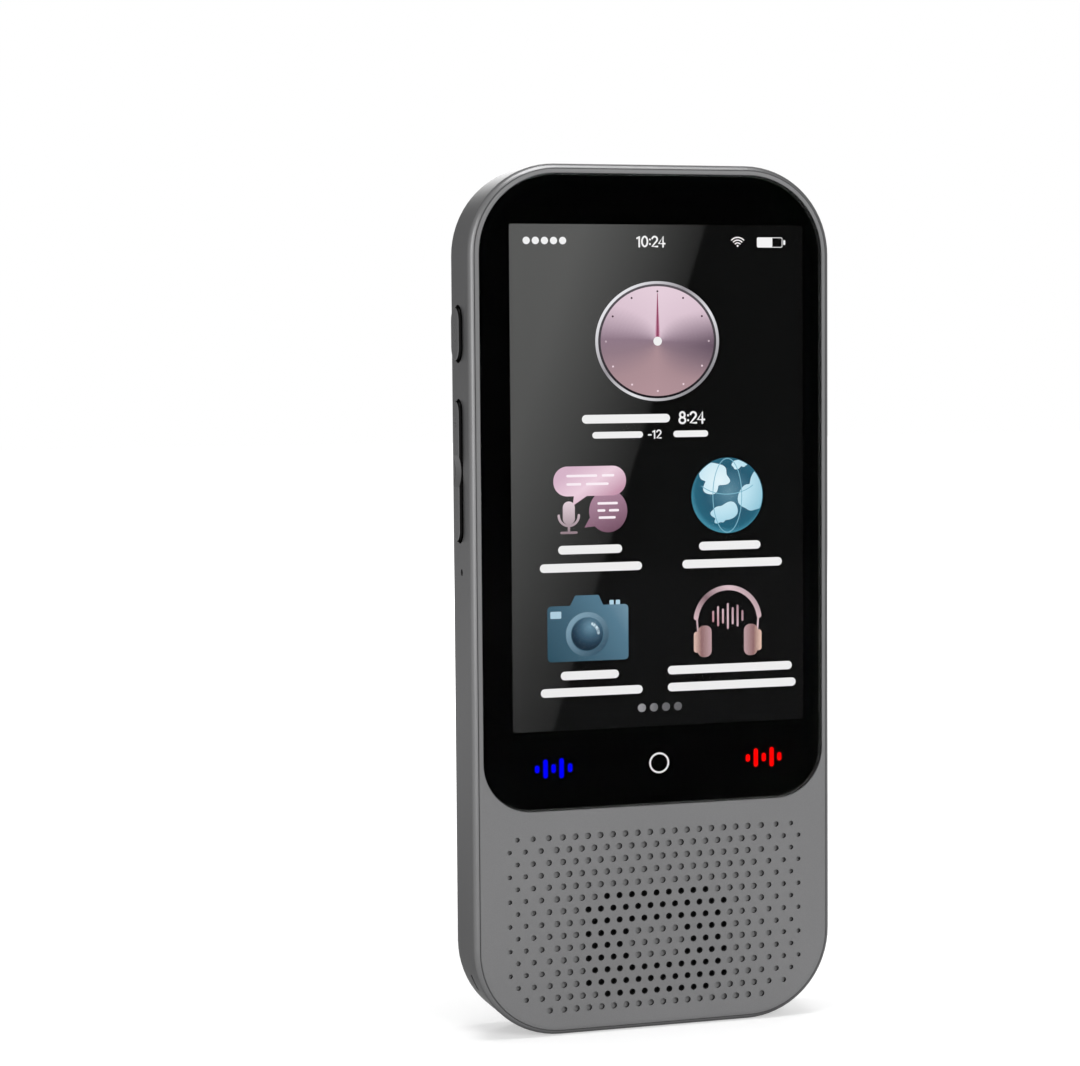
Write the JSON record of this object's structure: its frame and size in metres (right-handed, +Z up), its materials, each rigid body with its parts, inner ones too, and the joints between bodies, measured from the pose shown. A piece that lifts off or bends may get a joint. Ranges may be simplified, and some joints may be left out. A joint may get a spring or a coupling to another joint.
{
  "type": "handheld translator",
  "caption": "Slim pocket voice translator with a touch screen over a perforated speaker grille, side keys, coloured talk keys and a rear camera in a round dish.",
  "frame": {"origin": "middle of the bottom end's flat, halfway through the thickness", "axes": "+Z up the length towards the USB-C end, +X to the right as the screen is seen, -Y out of the screen, +Y out of the back"},
  "size_m": [0.065, 0.0124, 0.146],
  "materials": {
    "frame_metal": "bead-blasted satin",
    "panel_paint": "satin",
    "glass": "polished",
    "black_ink": "printed ink",
    "black_tape": "adhesive foam tape",
    "sensor_film": "clear film",
    "screen": "lit screen",
    "backlight": "white diffuser in a steel tray",
    "flex": "amber polyimide film",
    "chassis_metal": "sheet and machined posts",
    "dark_steel": "blackened",
    "bright_steel": "nickel plated",
    "cover_plastic": "satin",
    "ring_metal": "turned and anodised dark",
    "camera_glass": "coated",
    "lens_glass": "coated blue",
    "black_plastic": "matt",
    "dark_plastic": "matt",
    "foam": "soft",
    "key_metal": "satin",
    "dark_key": "satin",
    "blue_key": "satin gloss",
    "red_key": "satin gloss",
    "switch_body": "matt",
    "mic_metal": "gold plated",
    "board": "solder mask",
    "can_metal": "tinned",
    "pouch": "laminated pouch",
    "white_tape": "pull tape",
    "lead": "insulated lead and plug",
    "mesh_fabric": "acoustic mesh"
  },
  "bodies": {
    "body": {"side_frame": "frame_metal", "front_fascia": "panel_paint", "cover_glass": "glass", "border_print": "black_ink", "glass_tape": "black_tape", "touch_sensor": "sensor_film", "display_panel": "screen", "display_backlight": "backlight", "display_flex": "flex", "chassis": "chassis_metal", "chassis_screws": "dark_steel", "back_cover": "cover_plastic", "camera_ring": "ring_metal", "camera_window": "camera_glass", "camera_lens": "lens_glass", "camera_barrel": "black_plastic", "camera_module": "black_plastic", "camera_foam": "foam", "left_key_board": "flex", "right_key_board": "flex", "left_key_switches": "switch_body", "right_key_switches": "switch_body", "microphones": "mic_metal", "mic_boots": "foam", "main_board": "board", "board_screws": "bright_steel", "shield_cans": "can_metal", "board_chips": "black_plastic", "lower_board": "board", "board_ribbon": "flex", "battery": "pouch", "battery_tape": "white_tape", "battery_lead": "lead", "usb_shell": "bright_steel", "usb_core": "black_plastic", "speaker_mesh": "mesh_fabric", "speaker_gasket": "foam", "speaker_basket": "dark_plastic", "speaker_cone": "black_plastic", "speaker_magnet": "can_metal", "speaker_chamber": "dark_plastic", "lanyard_pin": "bright_steel"},
    "power_key": {"power_button": "key_metal"},
    "volume_key": {"volume_rocker": "key_metal"},
    "photo_key": {"photo_button": "dark_key"},
    "blue_talk_key": {"blue_talk_button": "blue_key"},
    "red_talk_key": {"red_talk_button": "red_key"}
  },
  "joints": [
    {"name": "power_press", "type": "slide", "parent": "body", "child": "power_key", "axis": [1, 0, 0], "range_m": [0, 0.0004], "stiffness_N_per_m": 2250},
    {"name": "volume_rock", "type": "hinge", "parent": "body", "child": "volume_key", "pos_m": [-0.02828, 0.0015, 0.0951], "axis": [0, 1, 0], "range_deg": [-1.6, 1.6], "stiffness_Nm_per_rad": 0.34},
    {"name": "photo_press", "type": "slide", "parent": "body", "child": "photo_key", "axis": [-1, 0, 0], "range_m": [0, 0.0004], "stiffness_N_per_m": 2250},
    {"name": "blue_talk_press", "type": "slide", "parent": "body", "child": "blue_talk_key", "axis": [-1, 0, 0], "range_m": [0, 0.0004], "stiffness_N_per_m": 2250},
    {"name": "red_talk_press", "type": "slide", "parent": "body", "child": "red_talk_key", "axis": [-1, 0, 0], "range_m": [0, 0.0004], "stiffness_N_per_m": 2250}
  ]
}
